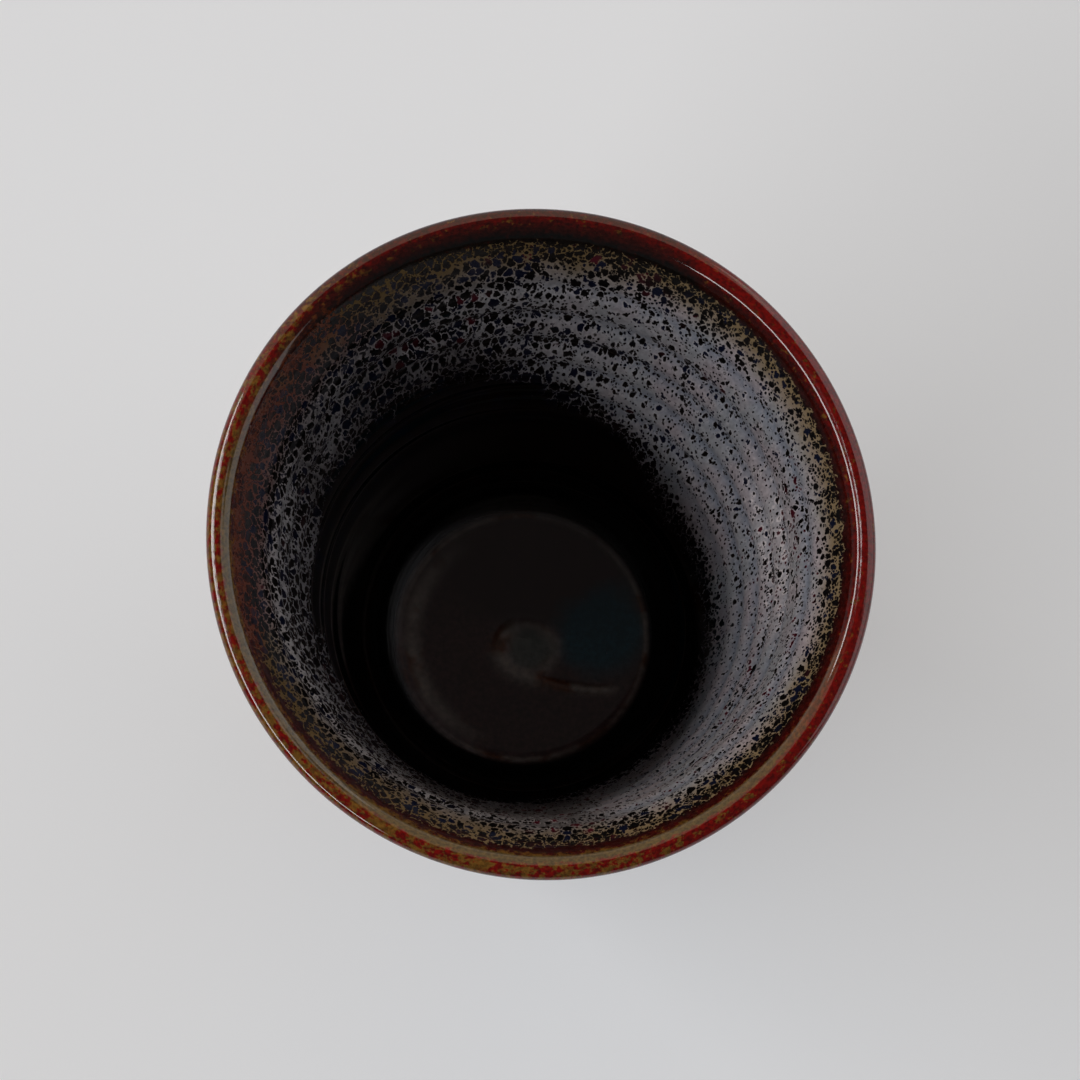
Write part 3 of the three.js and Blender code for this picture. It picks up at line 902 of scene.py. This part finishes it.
class FootRing(bpy.types.Operator):
    """Turn the foot ring: sides that draw in to the table, softened chamfers and fine tool lines"""
    bl_idname = "cup.foot_ring"
    bl_label = "Foot ring"

    def execute(self, context):
        size, tint = context.scene.cup_sizes, context.scene.cup_colours
        top = size.foot_height
        chamfer = size.foot_chamfer
        rim = size.foot / 2
        recess = rim - size.foot_wall
        inside = recess + size.foot_taper
        outside = rim - size.foot_taper
        along, (r, z) = even_curve(np.array([
            (recess, inside, inside + chamfer, outside - chamfer, outside, rim),
            (top, chamfer, 0, 0, chamfer, top)]))
        theta = angles()
        at = steps(0, along[-1], FOOT_STEP)
        radius = np.interp(at, along, r)
        height = np.interp(at, along, z)
        tool = 0.03 * MM * np.sin(2 * pi * at / (0.9 * MM) + theta) * smooth(height, 0, 2 * MM)
        side = np.sign(radius - (recess + rim) / 2)
        grid = hand_thrown(size, radius - tool * side, height, theta)
        mesh = revolved_mesh("turned_foot", grid, ring=True)
        add_piece("turned_foot", mesh, bare_stoneware(tint), "foot_ring", "bare_stoneware")
        return {"FINISHED"}


class GlazeCoats(bpy.types.Operator):
    """Glaze the cup: an outer coat down to the glaze line, a liner, and the iron band over the lip"""
    bl_idname = "cup.glaze_coats"
    bl_label = "Glaze coats"

    def execute(self, context):
        size, tint = context.scene.cup_sizes, context.scene.cup_colours
        cup = thrown_profile(size)
        theta = angles()
        material = iron_and_ash_glaze(size, tint)
        share = steps(0, 1, 1 / OUTER_STEPS)
        edge = glaze_edge(cup, theta)
        outer = edge + (cup.band_outside - edge) * share ** 1.4
        lip = steps(cup.band_outside, cup.band_inside, LIP_STEP)
        liner = steps(cup.band_inside, cup.centre, LINER_STEP)
        for name, along, ring, node, slot in (
                ("outer_coat", outer, True, "outer_glaze", "spotted_glaze"),
                ("lip_coat", lip, True, "lip_glaze", "iron_glaze"),
                ("liner_coat", liner, False, "inner_glaze", "spotted_glaze")):
            back = np.concatenate([along[:0:-BACK_ROWS], along[:1]])
            face = skin(size, cup, along, theta, glazed=True)
            under = skin(size, cup, back, theta, glazed=False)
            grid = np.concatenate([face, under] if ring else [under, face])
            path = np.concatenate([along, back] if ring else [back, along])
            run = path - cup.crest
            mesh = revolved_mesh(
                name, grid, ring, run=run / MM, flow=glaze_flow(run) / MM,
                groove=throwing_rings(size, cup, path, theta), ridge=floor_ridges_and_reflection(size, cup, path, theta))
            add_piece(name, mesh, material, node, slot)
        return {"FINISHED"}


def soft_light(name, azimuth, elevation, width, height, radiance, shade="#ffffff"):
    """A rectangular lamp that faces the cup from afar. Its power is its radiance times pi times its area."""
    distance = 3.0
    direction = Vector((
        cos(radians(azimuth)) * cos(radians(elevation)),
        sin(radians(azimuth)) * cos(radians(elevation)),
        sin(radians(elevation))))
    lamp = bpy.data.lights.new(name, "AREA")
    lamp.shape = "RECTANGLE"
    lamp.size = width
    lamp.size_y = height
    lamp.energy = radiance * pi * width * height
    lamp.color = linear(shade)
    light = bpy.data.objects.new(name, lamp)
    light.location = direction * distance
    light.rotation_euler = direction.to_track_quat("Z", "Y").to_euler()
    light.visible_camera = False
    bpy.context.collection.objects.link(light)


def camera_above(size):
    """Camera over the rim, leaning towards the viewer and slightly to the left, with the picture level."""
    lean = radians(9.8)
    drift = radians(1.8)
    distance = 458 * MM
    back = Vector((-sin(drift), -sin(lean), cos(lean))).normalized()
    right = Vector((0, 1, 0)).cross(back).normalized()
    up = back.cross(right)
    target = Vector((0, 0, size.height)) - up * 0.37 * MM - right * 0.19 * MM
    turned = Matrix((right, up, back)).transposed().to_4x4()
    camera = bpy.data.objects.new("camera", bpy.data.cameras.new("camera"))
    camera.data.lens = 130.9
    camera.data.sensor_width = 36
    camera.data.clip_start = 0.01
    camera.matrix_world = Matrix.Translation(target + back * distance) @ turned
    bpy.context.collection.objects.link(camera)
    bpy.context.scene.camera = camera


def dim_room():
    """World light: a dark room with a pale band at the horizon, except behind the viewer."""
    dark = 0.075
    world = bpy.data.worlds.new("studio")
    world.use_nodes = True
    tree = world.node_tree
    tree.nodes.clear()
    direction = add(tree, "SeparateXYZ", {"Vector": add(tree, "TexCoord").outputs["Generated"]})
    pale = add(tree, "MapRange", {"Value": direction.outputs["Y"], "From Min": -0.2, "From Max": 0.5,
                                  "To Min": dark, "To Max": 0.35})
    level = add(tree, "MapRange", {"Value": direction.outputs["Z"], "From Min": 0.1, "From Max": 0.3,
                                   "To Min": pale, "To Max": dark}, interpolation_type="SMOOTHSTEP")
    glow = add(tree, "Background", {"Color": (1, 1, 1), "Strength": level})
    add(tree, "OutputWorld", {"Surface": glow})
    bpy.context.scene.world = world


class Studio(bpy.types.Operator):
    """Set the stage: pale paper floor, a window-like key light on the left, two soft panels, a camera"""
    bl_idname = "cup.studio"
    bl_label = "Studio"

    def execute(self, context):
        size, tint = context.scene.cup_sizes, context.scene.cup_colours
        half = 3.0
        corners = [(-half, -half, 0), (half, -half, 0), (half, half, 0), (-half, half, 0)]
        mesh = bpy.data.meshes.new("paper_floor")
        mesh.from_pydata(corners, [], [(0, 1, 2, 3)])
        floor = bpy.data.objects.new("paper_floor", mesh)
        floor.data.materials.append(studio_paper(tint))
        context.collection.objects.link(floor)
        soft_light("key", azimuth=190, elevation=44, width=4.3, height=0.42, radiance=10.5)
        soft_light("right_panel", azimuth=16, elevation=25, width=5.0, height=2.1, radiance=1.1)
        soft_light("far_panel", azimuth=105, elevation=28, width=6.0, height=2.4, radiance=0.85,
                   shade="#ffe8cc")
        dim_room()
        camera_above(size)
        context.scene.view_settings.view_transform = "Standard"
        return {"FINISHED"}


class CupPanel(bpy.types.Panel):
    """Sizes, colours and pieces of the cup"""
    bl_idname = "CUP_PT_cup"
    bl_label = "Yunomi teacup"
    bl_space_type = "VIEW_3D"
    bl_region_type = "UI"
    bl_category = "Cup"

    def draw(self, context):
        for operator in OPERATORS:
            self.layout.operator(operator.bl_idname)
        for group in (context.scene.cup_sizes, context.scene.cup_colours):
            column = self.layout.column()
            for prop in group.__annotations__:
                column.prop(group, prop)


OPERATORS = (ClayBody, FootRing, GlazeCoats, Studio)
CLASSES = (CupSizes, CupColours, *OPERATORS, CupPanel)


def register():
    for cls in CLASSES:
        bpy.utils.register_class(cls)
    bpy.types.Scene.cup_sizes = PointerProperty(type=CupSizes)
    bpy.types.Scene.cup_colours = PointerProperty(type=CupColours)


def unregister():
    del bpy.types.Scene.cup_colours
    del bpy.types.Scene.cup_sizes
    for cls in reversed(CLASSES):
        bpy.utils.unregister_class(cls)


def main():
    register()
    bpy.ops.cup.clay_body()
    bpy.ops.cup.foot_ring()
    bpy.ops.cup.glaze_coats()
    bpy.ops.cup.studio()


if __name__ == "__main__":
    main()
